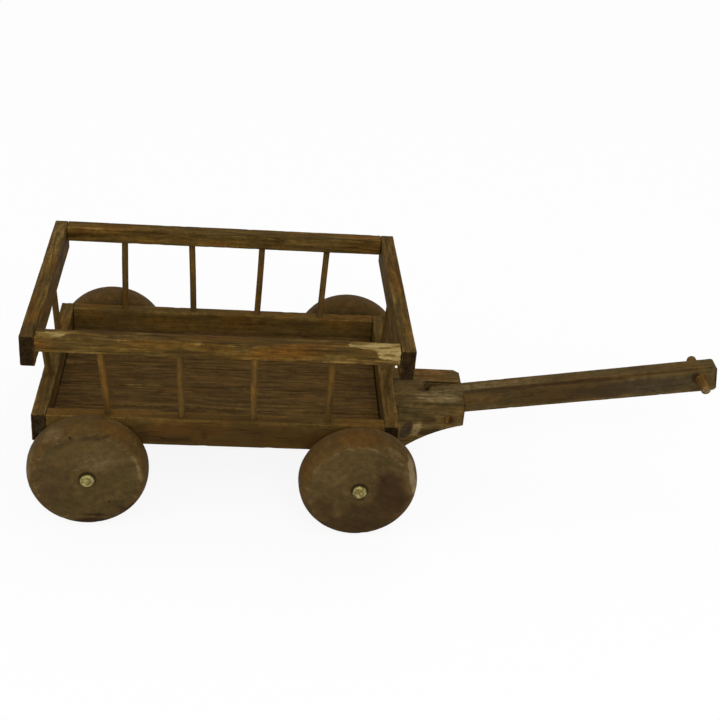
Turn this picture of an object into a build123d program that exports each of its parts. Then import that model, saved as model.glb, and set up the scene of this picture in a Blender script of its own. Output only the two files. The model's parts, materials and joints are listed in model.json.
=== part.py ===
from build123d import *
import math
import os

os.makedirs("parts", exist_ok=True)

# A small handmade farm wagon of stained sticks: two stick frames joined by round spindles,
# two axle blocks, four turned disc wheels on brass nails, and a tongue pinned in a fork.
# Millimetres. +X runs forward along the tongue, +Y to the left, +Z up, floor at Z = 0.

# Wheels and their nails
wheel_radius = 18.9
wheel_width = 9.8
wheel_face_run = 5.6
wheel_face_drop = 2.9
wheel_back_run = 2.8
wheel_back_drop = 3.6
rear_overhang = 17.5
wheelbase = 84.7
nail_radius = 1.0
nail_running_gap = 0.05
nail_grip_gap = 0.02
nail_depth_in_block = 13.0
nail_point_length = 2.5
nail_head_radius = 2.35
nail_head_rim = 0.3
nail_head_height = 1.1
nail_head_gap = 0.15

# How each wheel stands on its nail, driven in by hand.
# Columns: end, side, turn of the nail towards the front in degrees, gap from block to wheel
wheel_stance = [
    ("rear", "right", 4.0, 0.8),
    ("rear", "left", -1.5, 0.8),
    ("front", "right", 2.2, 2.4),
    ("front", "left", 1.0, 2.4),
]

# Bottom frame, floor boards and axle blocks
bed_length = 114.8
bed_width = 72.0
bed_rail_thickness = 4.5
bed_rail_height = 9.8
bed_above_nails = 6.1
board_count = 5
board_thickness = 3.0
board_gap = 0.3
axle_block_width = 12.0
axle_block_height = 15.3
axle_block_proud = 0.5

# Top frame and spindles
top_length = 118.0
top_width = 79.6
end_rail_thickness = 4.5
end_rail_height = 10.4
side_rail_width = 5.3
side_rail_height = 5.3
front_rail_skew = 1.15
frame_spread = 30.2
spindle_radius = 1.05
spindle_socket = 3.0
spindle_grip_gap = 0.02
socket_end_gap = 0.1
side_spindle_count = 4
end_spindle_count = 2

# Drifts of the spindles from even spacing, along their rails.
# Columns: side or end, number, drift of the foot, drift of the head
spindle_drift = [
    ("right", 1, 0.6, -0.1),
    ("right", 2, 0.4, 0.2),
    ("right", 3, -0.2, -0.9),
    ("right", 4, 0.3, -0.6),
    ("left", 1, -0.4, 0.3),
    ("left", 2, 0.5, -0.2),
    ("left", 3, 0.1, 0.6),
    ("left", 4, -0.5, -0.3),
    ("rear", 1, 0.3, -0.4),
    ("rear", 2, -0.5, 0.2),
    ("front", 1, -0.2, 0.5),
    ("front", 2, 0.4, 0.1),
]

# Hitch block, its pin, the tongue and its crossbar
hitch_width = 22.4
hitch_reach = 24.9
hitch_above_underside = 3.15
hitch_nose_height = 8.25
hitch_cove_run = 20.2
hitch_cove_sag = 1.3
hitch_corner_cut = 1.8
slot_depth = 12.9
slot_side_play = 0.25
pin_radius = 1.45
pin_running_gap = 0.05
pin_grip_gap = 0.02
pin_setback = 5.0
pin_drop = 6.15
pin_proud = 0.2
tongue_thickness = 5.4
tongue_length = 93.1
tongue_tail = 6.3
tongue_root_height = 8.4
tongue_tip_height = 9.5
tongue_below_pin = 3.1
tongue_tip_round = 1.2
tongue_tail_round = 2.0
tongue_pitch = 8.8
crossbar_radius = 1.6
crossbar_middle_radius = 1.9
crossbar_length = 20.6
crossbar_setback = 5.5
crossbar_shift = 0.5
crossbar_grip_gap = 0.02
crossbar_end_round = 0.5

# Broken edge along every stick
stick_edge = 0.35

# Heights that follow
nail_z = wheel_radius
bed_underside = nail_z + bed_above_nails
bed_top = bed_underside + bed_rail_height
top_plane = bed_top + frame_spread
axle_block_underside = bed_underside - axle_block_height
hitch_top = bed_underside + hitch_above_underside
pin_z = hitch_top - pin_drop

# The tongue's own outline, measured from its pin: distances along it and across it
tongue_growth = (tongue_tip_height - tongue_root_height) / 2
root_low = -tongue_below_pin
root_high = tongue_root_height - tongue_below_pin
tip_low = root_low - tongue_growth
tip_high = root_high + tongue_growth
pitch = math.radians(tongue_pitch)
tip_reach = (
    (tongue_length - tongue_tip_round) * math.cos(pitch)
    - (tip_low + tongue_tip_round) * math.sin(pitch)
    + tongue_tip_round
)

# Places along X: the origin is under the middle of the whole length, tongue tip included
bed_front_to_pin = hitch_reach - pin_setback
wheel_reach = bed_length / 2 - rear_overhang + wheel_radius
rear_reach = max(top_length / 2, bed_length / 2, wheel_reach)
total_length = rear_reach + bed_length / 2 + bed_front_to_pin + tip_reach
bed_x = rear_reach - total_length / 2
bed_front_x = bed_x + bed_length / 2
rear_axle_x = bed_x - bed_length / 2 + rear_overhang
front_axle_x = rear_axle_x + wheelbase
hitch_nose_x = bed_front_x + hitch_reach
pin_x = hitch_nose_x - pin_setback

# End faces of the axle blocks, where the nails go in
axle_block_end_y = bed_width / 2 + axle_block_proud

ends = {"rear": -1, "front": 1}
sides = {"right": -1, "left": 1}
axles = {"rear": rear_axle_x, "front": front_axle_x}


def spindle_line(foot, head):
    """Plane on a spindle's axis where it leaves the bottom frame, and its bare length."""
    axis = Vector(*head) - Vector(*foot)
    return Plane(origin=foot, z_dir=axis), axis.length


def nail_line(axle_x, way, turn):
    """Upright plane through a nail: its X runs out along the nail from the block's end face."""
    angle = math.radians(turn)
    outward = Vector(math.sin(angle), way * math.cos(angle), 0)
    mouth = (axle_x, way * axle_block_end_y, nail_z)
    return Plane(origin=mouth, x_dir=outward, z_dir=outward.cross(Vector(0, 0, 1)))


# The front end rail of the top frame sits a little askew, its right end forward
rail_skew = {"rear": 0, "front": math.radians(front_rail_skew)}


def inner_face_x(end, y):
    """Where the inner face of a top end rail stands, at a distance Y from the middle."""
    middle_x = bed_x + ends[end] * (top_length - end_rail_thickness) / 2
    skew = rail_skew[end]
    return middle_x - ends[end] * end_rail_thickness / 2 / math.cos(skew) - y * math.tan(skew)


# Spindle axes, four along each side and two across each end, with the rails they enter
drifts = {}
for group, number, foot_drift, head_drift in spindle_drift:
    drifts[group, number] = (foot_drift, head_drift)
spindles = {}
sockets = {}
for side, way in sides.items():
    for number in range(side_spindle_count):
        share = (number + 1) / (side_spindle_count + 1) - 0.5
        foot_drift, head_drift = drifts.get((side, number + 1), (0, 0))
        foot = (
            bed_x + share * bed_length + foot_drift,
            way * (bed_width - bed_rail_thickness) / 2,
            bed_top,
        )
        head = (
            bed_x + share * top_length + head_drift,
            way * (top_width - side_rail_width) / 2,
            top_plane - side_rail_height,
        )
        spindles[f"spindle_{side}_{number + 1}"] = spindle_line(foot, head)
        sockets.setdefault(f"sill_{side}", []).append(spindle_line(foot, head))
        sockets.setdefault(f"top_rail_{side}", []).append(spindle_line(foot, head))
for end, way in ends.items():
    for number in range(end_spindle_count):
        share = (number + 1) / (end_spindle_count + 1) - 0.5
        foot_drift, head_drift = drifts.get((end, number + 1), (0, 0))
        foot = (
            bed_x + way * (bed_length - bed_rail_thickness) / 2,
            share * bed_width + foot_drift,
            bed_top,
        )
        head_y = share * top_width + head_drift
        head = (
            inner_face_x(end, head_y) + way * end_rail_thickness / 2,
            head_y,
            top_plane - end_rail_height,
        )
        spindles[f"spindle_{end}_{number + 1}"] = spindle_line(foot, head)
        sockets.setdefault(f"bottom_rail_{end}", []).append(spindle_line(foot, head))
        sockets.setdefault(f"top_rail_{end}", []).append(spindle_line(foot, head))

# Sticks of the two frames.
# Columns: name, middle x, middle y, top z, length, thickness, height, turn in plan in degrees
sticks = []
for end, way in ends.items():
    sticks.append(
        (
            f"top_rail_{end}",
            bed_x + way * (top_length - end_rail_thickness) / 2,
            0,
            top_plane,
            top_width,
            end_rail_thickness,
            end_rail_height,
            90 + math.degrees(rail_skew[end]),
        )
    )
    sticks.append(
        (
            f"bottom_rail_{end}",
            bed_x + way * (bed_length - bed_rail_thickness) / 2,
            0,
            bed_top,
            bed_width,
            bed_rail_thickness,
            bed_rail_height,
            90,
        )
    )
for side, way in sides.items():
    outer_y = way * top_width / 2
    inner_y = way * (top_width / 2 - side_rail_width)
    rear_x = max(inner_face_x("rear", outer_y), inner_face_x("rear", inner_y))
    front_x = min(inner_face_x("front", outer_y), inner_face_x("front", inner_y))
    sticks.append(
        (
            f"top_rail_{side}",
            (rear_x + front_x) / 2,
            (outer_y + inner_y) / 2,
            top_plane,
            front_x - rear_x,
            side_rail_width,
            side_rail_height,
            0,
        )
    )
    sticks.append(
        (
            f"sill_{side}",
            bed_x,
            way * (bed_width - bed_rail_thickness) / 2,
            bed_top,
            bed_length - 2 * bed_rail_thickness,
            bed_rail_thickness,
            bed_rail_height,
            0,
        )
    )

for name, x, y, top, stick_length, thickness, height, turn in sticks:
    angle = math.radians(turn)
    along = Vector(math.cos(angle), math.sin(angle), 0)
    with BuildPart() as stick:
        with BuildSketch(Plane(origin=(x, y, top - height), x_dir=along, z_dir=(0, 0, 1))):
            Rectangle(stick_length, thickness)
        extrude(amount=height)
        chamfer(stick.edges().filter_by(Axis((0, 0, 0), along)), length=stick_edge)
        for line, bare_length in sockets[name]:
            with BuildSketch(line.offset(-spindle_socket - socket_end_gap)):
                Circle(spindle_radius + spindle_grip_gap)
            extrude(amount=bare_length + 2 * (spindle_socket + socket_end_gap), mode=Mode.SUBTRACT)
    stick.part.label = name
    export_step(stick.part, f"parts/{name}.step")

# Round spindles, glued in blind sockets and leaning out with the flare of the sides
for name, (line, length) in spindles.items():
    with BuildPart() as spindle:
        with BuildSketch(line.offset(-spindle_socket)):
            Circle(spindle_radius)
        extrude(amount=length + 2 * spindle_socket)
    spindle.part.label = name
    export_step(spindle.part, f"parts/{name}.step")

# Floor boards, laid lengthways on the axle blocks inside the bottom frame
board_length = bed_length - 2 * bed_rail_thickness - 2 * board_gap
board_field = bed_width - 2 * bed_rail_thickness
board_width = (board_field - (board_count + 1) * board_gap) / board_count
for number in range(board_count):
    with BuildPart() as board:
        board_y = (number - (board_count - 1) / 2) * (board_width + board_gap)
        with BuildSketch(Plane.XY.offset(bed_underside)):
            with Locations((bed_x, board_y)):
                Rectangle(board_length, board_width)
        extrude(amount=board_thickness)
    board.part.label = f"floor_board_{number + 1}"
    export_step(board.part, f"parts/floor_board_{number + 1}.step")

# The nails' lines, each with the gap its wheel keeps from the block
nails = {}
for end, side, turn, gap in wheel_stance:
    nails[f"{end}_{side}"] = (nail_line(axles[end], sides[side], turn), gap)

# Axle blocks across the underside, bored from both ends for the nails
for end, axle_x in axles.items():
    with BuildPart() as block:
        with BuildSketch(Plane.XY.offset(axle_block_underside)):
            with Locations((axle_x, 0)):
                Rectangle(axle_block_width, 2 * axle_block_end_y)
        extrude(amount=axle_block_height)
        lower_edges = block.edges().filter_by(Axis.Y).group_by(Axis.Z)[0]
        chamfer(lower_edges, length=stick_edge)
        for side in sides:
            line = nails[f"{end}_{side}"][0]
            bore_start = Plane(origin=line.origin + line.x_dir * nail_radius, z_dir=-line.x_dir)
            with BuildSketch(bore_start):
                Circle(nail_radius + nail_grip_gap)
            bore_depth = nail_radius + nail_depth_in_block + socket_end_gap
            extrude(amount=bore_depth, mode=Mode.SUBTRACT)
    block.part.label = f"axle_block_{end}"
    export_step(block.part, f"parts/axle_block_{end}.step")

# Wheels: solid discs turned with a long soft round towards the face and a shorter one behind
bore_radius = nail_radius + nail_running_gap
face_round_radius = wheel_radius - wheel_face_drop
back_round_radius = wheel_radius - wheel_back_drop
for place, (line, gap) in nails.items():
    face = gap + wheel_width
    with BuildPart() as wheel:
        with BuildSketch(line):
            with BuildLine():
                Polyline(
                    (gap, back_round_radius),
                    (gap, bore_radius),
                    (face, bore_radius),
                    (face, face_round_radius),
                )
                EllipticalCenterArc(
                    center=(face - wheel_face_run, face_round_radius),
                    x_radius=wheel_face_run,
                    y_radius=wheel_face_drop,
                    start_angle=0,
                    arc_size=90,
                )
                Line((face - wheel_face_run, wheel_radius), (gap + wheel_back_run, wheel_radius))
                EllipticalCenterArc(
                    center=(gap + wheel_back_run, back_round_radius),
                    x_radius=wheel_back_run,
                    y_radius=wheel_back_drop,
                    start_angle=90,
                    arc_size=90,
                )
            make_face()
        revolve(axis=Axis(origin=line.origin, direction=line.x_dir))
    wheel.part.label = f"wheel_{place}"
    export_step(wheel.part, f"parts/wheel_{place}.step")

# Brass nails: pointed shank through the wheel into the block, low domed head outside
cap_radius = (nail_head_radius**2 + nail_head_height**2) / (2 * nail_head_height)
cap_half_angle = math.asin(nail_head_radius / cap_radius) / 2
for place, (line, gap) in nails.items():
    head_back = gap + wheel_width + nail_head_gap
    head_rim = head_back + nail_head_rim
    crown = head_rim + nail_head_height
    cap_centre = crown - cap_radius
    cap_middle = (
        cap_centre + cap_radius * math.cos(cap_half_angle),
        cap_radius * math.sin(cap_half_angle),
    )
    with BuildPart() as nail:
        with BuildSketch(line):
            with BuildLine():
                Polyline(
                    (crown, 0),
                    (-nail_depth_in_block, 0),
                    (-nail_depth_in_block + nail_point_length, nail_radius),
                    (head_back, nail_radius),
                    (head_back, nail_head_radius),
                    (head_rim, nail_head_radius),
                )
                ThreePointArc((head_rim, nail_head_radius), cap_middle, (crown, 0))
            make_face()
        revolve(axis=Axis(origin=line.origin, direction=line.x_dir))
    nail.part.label = f"nail_{place}"
    export_step(nail.part, f"parts/nail_{place}.step")

# Hitch block: lapped round the front bottom rail and onto the front axle block,
# coved below towards its nose, and slotted from the nose into a fork for the tongue
axle_face_x = front_axle_x + axle_block_width / 2
nose_underside = hitch_top - hitch_nose_height
cove_start = (hitch_nose_x, nose_underside)
cove_end = (hitch_nose_x - hitch_cove_run, axle_block_underside)
slot_width = tongue_thickness + 2 * slot_side_play
with BuildPart() as hitch_block:
    with BuildSketch(Plane.XZ):
        with BuildLine():
            Polyline(
                cove_end,
                (axle_face_x, axle_block_underside),
                (axle_face_x, bed_underside),
                (bed_front_x, bed_underside),
                (bed_front_x, hitch_top),
                (hitch_nose_x, hitch_top),
                cove_start,
            )
            SagittaArc(cove_start, cove_end, -hitch_cove_sag)
        make_face()
    extrude(amount=hitch_width / 2, both=True)
    front_uprights = hitch_block.edges().filter_by(Axis.Z).group_by(Axis.X)[-1]
    chamfer(front_uprights.sort_by(Axis.Y)[-1], length=hitch_corner_cut)
    with BuildSketch(Plane.XY.offset(hitch_top)):
        with Locations((hitch_nose_x, 0)):
            Rectangle(2 * slot_depth, slot_width)
    extrude(amount=-hitch_top, mode=Mode.SUBTRACT)
    with BuildSketch(Plane.XZ):
        with Locations((pin_x, pin_z)):
            Circle(pin_radius + pin_grip_gap)
    extrude(amount=hitch_width, both=True, mode=Mode.SUBTRACT)
hitch_block.part.label = "hitch_block"
export_step(hitch_block.part, "parts/hitch_block.step")

# Hitch pin: a dowel through both cheeks of the fork and the tongue between them
with BuildPart() as hitch_pin:
    with BuildSketch(Plane.XZ):
        with Locations((pin_x, pin_z)):
            Circle(pin_radius)
    extrude(amount=hitch_width / 2 + pin_proud, both=True)
    chamfer(hitch_pin.edges().filter_by(GeomType.CIRCLE), length=pin_proud)
hitch_pin.part.label = "hitch_pin"
export_step(hitch_pin.part, "parts/hitch_pin.step")

# Tongue: a flat stick that grows a little towards its tip, hinged on the pin
tongue_plane = Plane(
    origin=(pin_x, 0, pin_z),
    x_dir=(math.cos(pitch), 0, math.sin(pitch)),
    z_dir=(0, -1, 0),
)
crossbar_centre = (tongue_length - crossbar_setback, (tip_low + tip_high) / 2)
with BuildPart() as tongue:
    with BuildSketch(tongue_plane):
        with BuildLine():
            Polyline(
                (-tongue_tail, root_low),
                (0, root_low),
                (tongue_length, tip_low),
                (tongue_length, tip_high),
                (0, root_high),
                (-tongue_tail, root_high),
                close=True,
            )
        make_face()
        corners = vertices().sort_by(Axis.X)
        fillet(corners[:2], radius=tongue_tail_round)
        fillet(vertices().sort_by(Axis.X)[-2:], radius=tongue_tip_round)
        Circle(pin_radius + pin_running_gap, mode=Mode.SUBTRACT)
        with Locations(crossbar_centre):
            Circle(crossbar_middle_radius + crossbar_grip_gap, mode=Mode.SUBTRACT)
    extrude(amount=tongue_thickness / 2, both=True)
tongue.part.label = "tongue"
export_step(tongue.part, "parts/tongue.step")

# Crossbar: a peg driven through the tongue's tip, thicker inside it, with a free stub on each side
with BuildPart() as crossbar:
    with BuildSketch(tongue_plane.offset(-crossbar_shift - crossbar_length / 2)):
        with Locations(crossbar_centre):
            Circle(crossbar_radius)
    extrude(amount=crossbar_length)
    fillet(crossbar.edges().filter_by(GeomType.CIRCLE), radius=crossbar_end_round)
    with BuildSketch(tongue_plane):
        with Locations(crossbar_centre):
            Circle(crossbar_middle_radius)
    extrude(amount=tongue_thickness / 2, both=True)
crossbar.part.label = "crossbar"
export_step(crossbar.part, "parts/crossbar.step")
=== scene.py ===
import bpy
import bmesh
import json
import math
from mathutils import Matrix, Vector, noise
from mathutils.geometry import intersect_point_line

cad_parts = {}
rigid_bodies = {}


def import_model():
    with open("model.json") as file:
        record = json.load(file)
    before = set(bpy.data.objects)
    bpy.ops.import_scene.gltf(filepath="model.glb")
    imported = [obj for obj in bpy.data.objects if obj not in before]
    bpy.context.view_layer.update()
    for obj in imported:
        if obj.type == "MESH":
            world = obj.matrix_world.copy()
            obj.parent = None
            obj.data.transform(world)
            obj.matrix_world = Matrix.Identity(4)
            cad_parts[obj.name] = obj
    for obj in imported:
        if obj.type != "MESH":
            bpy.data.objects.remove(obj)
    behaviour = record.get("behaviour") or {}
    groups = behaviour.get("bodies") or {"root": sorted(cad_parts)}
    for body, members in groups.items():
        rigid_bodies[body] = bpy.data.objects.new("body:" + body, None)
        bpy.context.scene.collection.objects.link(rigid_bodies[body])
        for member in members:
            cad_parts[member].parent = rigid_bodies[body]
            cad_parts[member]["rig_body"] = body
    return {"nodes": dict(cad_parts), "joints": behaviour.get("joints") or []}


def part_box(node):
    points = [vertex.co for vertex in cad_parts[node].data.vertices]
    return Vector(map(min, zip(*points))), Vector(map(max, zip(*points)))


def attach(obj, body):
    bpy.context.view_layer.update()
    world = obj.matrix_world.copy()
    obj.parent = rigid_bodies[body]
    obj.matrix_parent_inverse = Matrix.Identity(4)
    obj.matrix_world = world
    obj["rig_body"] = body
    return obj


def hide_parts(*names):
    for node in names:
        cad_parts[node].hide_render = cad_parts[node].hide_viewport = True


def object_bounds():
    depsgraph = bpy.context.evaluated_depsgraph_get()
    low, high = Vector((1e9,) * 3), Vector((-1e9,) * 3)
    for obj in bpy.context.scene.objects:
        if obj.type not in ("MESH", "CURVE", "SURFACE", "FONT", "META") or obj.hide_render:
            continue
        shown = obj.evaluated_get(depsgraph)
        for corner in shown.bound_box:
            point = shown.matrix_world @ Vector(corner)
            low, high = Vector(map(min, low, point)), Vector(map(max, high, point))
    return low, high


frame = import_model()
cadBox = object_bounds()
mm = 0.001
slack = 0.1  # millimetres within which a point counts as on a wall
print("frame loaded:", len(frame["nodes"]), "nodes")

# The camera that took the photograph, in millimetres, degrees and pixels of a 720 pixel frame

cameraValues = {
    "place": (-46.79, -392.70, 274.12),
    "yaw": 5.524,
    "elevation": 30.962,
    "roll": 5.091,
    "focalPixels": 1366.0,
    "framePixels": 720,
    "sensorWidth": 36,
    "clipStart": 10,
}


def makeCamera(values):
    yaw, up, roll = (math.radians(values[key]) for key in ("yaw", "elevation", "roll"))
    ahead = Vector((math.cos(up) * math.sin(yaw), math.cos(up) * math.cos(yaw), -math.sin(up)))
    right = Vector((math.cos(yaw), -math.sin(yaw), 0))
    top = right.cross(ahead)
    rolledRight = right * math.cos(roll) + top * math.sin(roll)
    rolledTop = top * math.cos(roll) - right * math.sin(roll)
    lens = bpy.data.cameras.new("photoCamera")
    lens.sensor_width = values["sensorWidth"]
    lens.lens = values["focalPixels"] / values["framePixels"] * values["sensorWidth"]
    lens.clip_start = values["clipStart"] * mm
    camera = bpy.data.objects.new("photoCamera", lens)
    turn = Matrix((rolledRight, rolledTop, -ahead)).transposed()
    camera.matrix_world = Matrix.Translation(Vector(values["place"]) * mm) @ turn.to_4x4()
    bpy.context.scene.collection.objects.link(camera)
    bpy.context.scene.camera = camera


makeCamera(cameraValues)


# Shader maths: a Wire is one socket's output, and an expression on Wires adds Math nodes

class Wire:
    def __init__(self, tree, socket=None):
        self.tree = tree
        self.socket = socket

    def node(self, kind, settings=None, inputs=None, output=0):
        made = self.tree.nodes.new("ShaderNode" + kind)
        for key, value in (settings or {}).items():
            setattr(made, key, value)
        for key, value in (inputs or {}).items():
            if isinstance(value, Wire):
                self.tree.links.new(value.socket, made.inputs[key])
            else:
                made.inputs[key].default_value = value
        return Wire(self.tree, made.outputs[output])

    def maths(self, operation, *values, clamp=False):
        settings = {"operation": operation, "use_clamp": clamp}
        return self.node("Math", settings, dict(enumerate(values)))

    def __add__(self, other):
        return self.maths("ADD", self, other)

    def __radd__(self, other):
        return self.maths("ADD", other, self)

    def __sub__(self, other):
        return self.maths("SUBTRACT", self, other)

    def __rsub__(self, other):
        return self.maths("SUBTRACT", other, self)

    def __mul__(self, other):
        return self.maths("MULTIPLY", self, other)

    def __rmul__(self, other):
        return self.maths("MULTIPLY", other, self)

    def __pow__(self, other):
        return self.maths("POWER", self, other)

    def __rpow__(self, other):
        return self.maths("POWER", other, self)

    def clamped(self):
        return self.maths("ADD", self, 0, clamp=True)

    def size(self):  # how far this number is from nothing
        return self.maths("ABSOLUTE", self)

    def wave(self, turns):  # from 0 to 1 and back, so many turns for each step of one
        angle = self * (turns * 2 * math.pi)
        return self.maths("SINE", angle) * 0.5 + 0.5

    def between(self, low, high):  # 0 below low, 1 above high, smooth in the middle
        inputs = {"Value": self, "From Min": low, "From Max": high}
        return self.node("MapRange", {"interpolation_type": "SMOOTHSTEP"}, inputs)

    def mixed(self, first, second):  # colours, by this Wire: a Mix node has them at 6, 7 and out 2
        inputs = {0: self, 6: first, 7: second}
        return self.node("Mix", {"data_type": "RGBA"}, inputs, 2)

    def lit(self, share):  # a colour made lighter or darker
        return self.node("VectorMath", {"operation": "SCALE"}, {0: self, "Scale": share})

    def length(self):
        return self.node("VectorMath", {"operation": "LENGTH"}, {0: self}, "Value")

    def scaled(self, along, across):  # grain coordinates stretched along the grain
        inputs = {0: self, 1: (along, across, across)}
        return self.node("VectorMath", {"operation": "MULTIPLY"}, inputs)

    def attribute(self, name, output="Fac"):
        return self.node("Attribute", {"attribute_name": name}, None, output)

    def noise(self, scale=1.0, detail=2, roughness=0.5, distortion=0):
        inputs = {
            "Vector": self, "Scale": scale, "Detail": detail,
            "Roughness": roughness, "Distortion": distortion,
        }
        return self.node("TexNoise", None, inputs, "Fac")


def tone(red, green, blue):  # a colour as a screen shows it, made linear
    def linear(level):
        share = level / 255
        return share / 12.92 if share < 0.04045 else ((share + 0.055) / 1.055) ** 2.4
    return (linear(red), linear(green), linear(blue), 1)


def startMaterial(name):
    material = bpy.data.materials.new(name)
    material.use_nodes = True
    tree = material.node_tree
    shader = next(node for node in tree.nodes if node.type == "BSDF_PRINCIPLED")
    return material, Wire(tree), shader


def joinUp(tree, wire, socket):
    tree.links.new(wire.socket, socket)


# Wood: every wooden piece carries its own grain coordinates in millimetres, x along the grain,
# and masks for its end faces, its edges and its marks

woodValues = {
    "stick": {
        "main": tone(88, 64, 24), "warm": tone(92, 60, 22), "olive": tone(80, 61, 27),
        "end": tone(43, 30, 10), "endDark": tone(31, 20, 6), "pale": tone(120, 97, 52),
        "rust": tone(94, 61, 21), "grey": tone(56, 46, 29), "stain": tone(44, 28, 10),
        "rawTan": tone(106, 83, 40), "raw": tone(146, 126, 78),
        "warmShare": 0.5, "streaks": 3.5, "fibres": 2.8, "mottle": 2.1, "rings": 0.4,
        "dashes": 0.5, "cracks": 1.2, "lift": 0.08, "ringTurns": 0.5, "turning": 0.0,
        "fray": 1.0, "roughness": 0.82, "shine": 0.05, "bump": 0.7,
    },
    "board": {
        "main": tone(84, 62, 29), "warm": tone(88, 61, 28), "olive": tone(79, 59, 29),
        "end": tone(48, 34, 18), "endDark": tone(28, 19, 9), "pale": tone(116, 93, 52),
        "rust": tone(88, 58, 24), "grey": tone(56, 48, 33), "stain": tone(38, 25, 12),
        "rawTan": tone(106, 82, 42), "raw": tone(146, 122, 76),
        "warmShare": 0.4, "streaks": 3.2, "fibres": 3.0, "mottle": 1.6, "rings": 0.6,
        "dashes": 0.4, "cracks": 1.2, "lift": 0.05, "ringTurns": 0.42, "turning": 0.0,
        "fray": 1.0, "roughness": 0.86, "shine": 0.05, "bump": 0.8,
    },
    "dowel": {
        "main": tone(88, 64, 27), "warm": tone(96, 66, 25), "olive": tone(84, 63, 29),
        "end": tone(98, 73, 30), "endDark": tone(66, 45, 17), "pale": tone(118, 97, 64),
        "rust": tone(104, 73, 26), "grey": tone(74, 64, 50), "stain": tone(52, 24, 10),
        "rawTan": tone(112, 84, 40), "raw": tone(140, 116, 70),
        "warmShare": 0.6, "streaks": 2.4, "fibres": 1.8, "mottle": 1.6, "rings": 0.2,
        "dashes": 0.2, "cracks": 0.0, "lift": 0.0, "ringTurns": 0.7, "turning": 0.0,
        "fray": 1.0, "roughness": 0.75, "shine": 0.06, "bump": 0.4,
    },
    "wheel": {
        "main": tone(80, 63, 34), "warm": tone(81, 59, 28), "olive": tone(72, 58, 29),
        "end": tone(80, 58, 26), "endDark": tone(50, 35, 14), "pale": tone(118, 101, 70),
        "rust": tone(86, 57, 18), "grey": tone(62, 48, 30), "stain": tone(44, 28, 12),
        "rawTan": tone(98, 78, 44), "raw": tone(118, 98, 62),
        "warmShare": 0.3, "streaks": 0.5, "fibres": 0.5, "mottle": 2.5, "rings": 0.05,
        "dashes": 0.1, "cracks": 0.0, "lift": -0.02, "ringTurns": 0.3, "turning": 0.7,
        "fray": 0.4, "roughness": 0.72, "shine": 0.06, "bump": 0.35,
    },
}
woodValues["stem"] = {  # hitch block and tongue, a greyer and more mottled cut of the same
    **woodValues["stick"],
    "main": tone(88, 69, 35), "warm": tone(91, 65, 31), "olive": tone(82, 67, 38),
    "pale": tone(124, 104, 68), "rust": tone(96, 66, 30), "stain": tone(48, 34, 17),
    "grey": tone(59, 48, 33), "mottle": 2.8,
}
markKinds = {  # how far each mark frays along the fibres, and where it starts and is full
    "pale": (0.8, 0.1, 1.0),
    "rust": (0.8, 0.1, 1.0),
    "grey": (0.5, 0.15, 0.9),
    "stain": (0.8, 0.1, 1.0),
    "raw": (0.9, 0.3, 0.6),
}
grainPatterns = {  # scale along and across the grain, for a millimetre, then the noise's settings
    "waver": (0.02, 0.14, 2, 0.5, 0),
    "fibres": (0.15, 1.9, 3, 0.65, 0),
    "streaks": (0.04, 0.55, 4, 0.62, 0.3),
    "dashes": (0.35, 1.7, 1, 0.5, 0),
    "patches": (0.07, 0.07, 3, 0.55, 0.4),
    "warmth": (0.05, 0.13, 2, 0.5, 0),
    "mottle": (0.45, 0.45, 5, 0.78, 0),
    "splits": (0.02, 0.45, 2, 0.5, 0),
    "gaps": (0.06, 0.3, 1, 0.5, 0),
    "pores": (0.5, 2.2, 3, 0.7, 0),
    "blotches": (0.18, 0.5, 3, 0.6, 0),
}
grainSteps = {  # where each pattern starts to show, and where it is full
    "dashes": (0.66, 0.73), "gaps": (0.55, 0.62), "main": (0.4, 0.6), "warm": (0.52, 0.68),
    "turning": (0.4, 0.6), "rim": (0.25, 0.8), "end": (0.4, 0.62), "raw": (0.42, 0.58),
    "rubbedStreaks": (-0.08, 0.1), "rubbedMottle": (-0.12, 0.1), "marked": (0.0, 0.2),
    "dark": (0.5, 0.68), "calm": (0.1, 0.6),
}
grainShares = {  # how much of a thing is taken where it meets another
    "ringDrift": 0.004, "ringWaver": 12, "ringPower": 4.0, "crackPower": 70,
    "turnedScale": 1.9, "turnedDrift": 2, "rim": 0.75, "rubbed": 0.5, "rubbedEnd": 0.8,
    "ragged": 0.8, "dark": 0.3, "calm": 0.6, "gloss": 0.2, "bumpDepth": 0.25,
}
reliefShares = {  # how high each pattern stands, or how deep it is cut
    "fibres": 0.5, "streaks": 0.4, "rings": 0.2, "mottle": 0.35, "dashes": 0.4,
    "turning": 0.6, "pores": 0.8,
}


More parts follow.
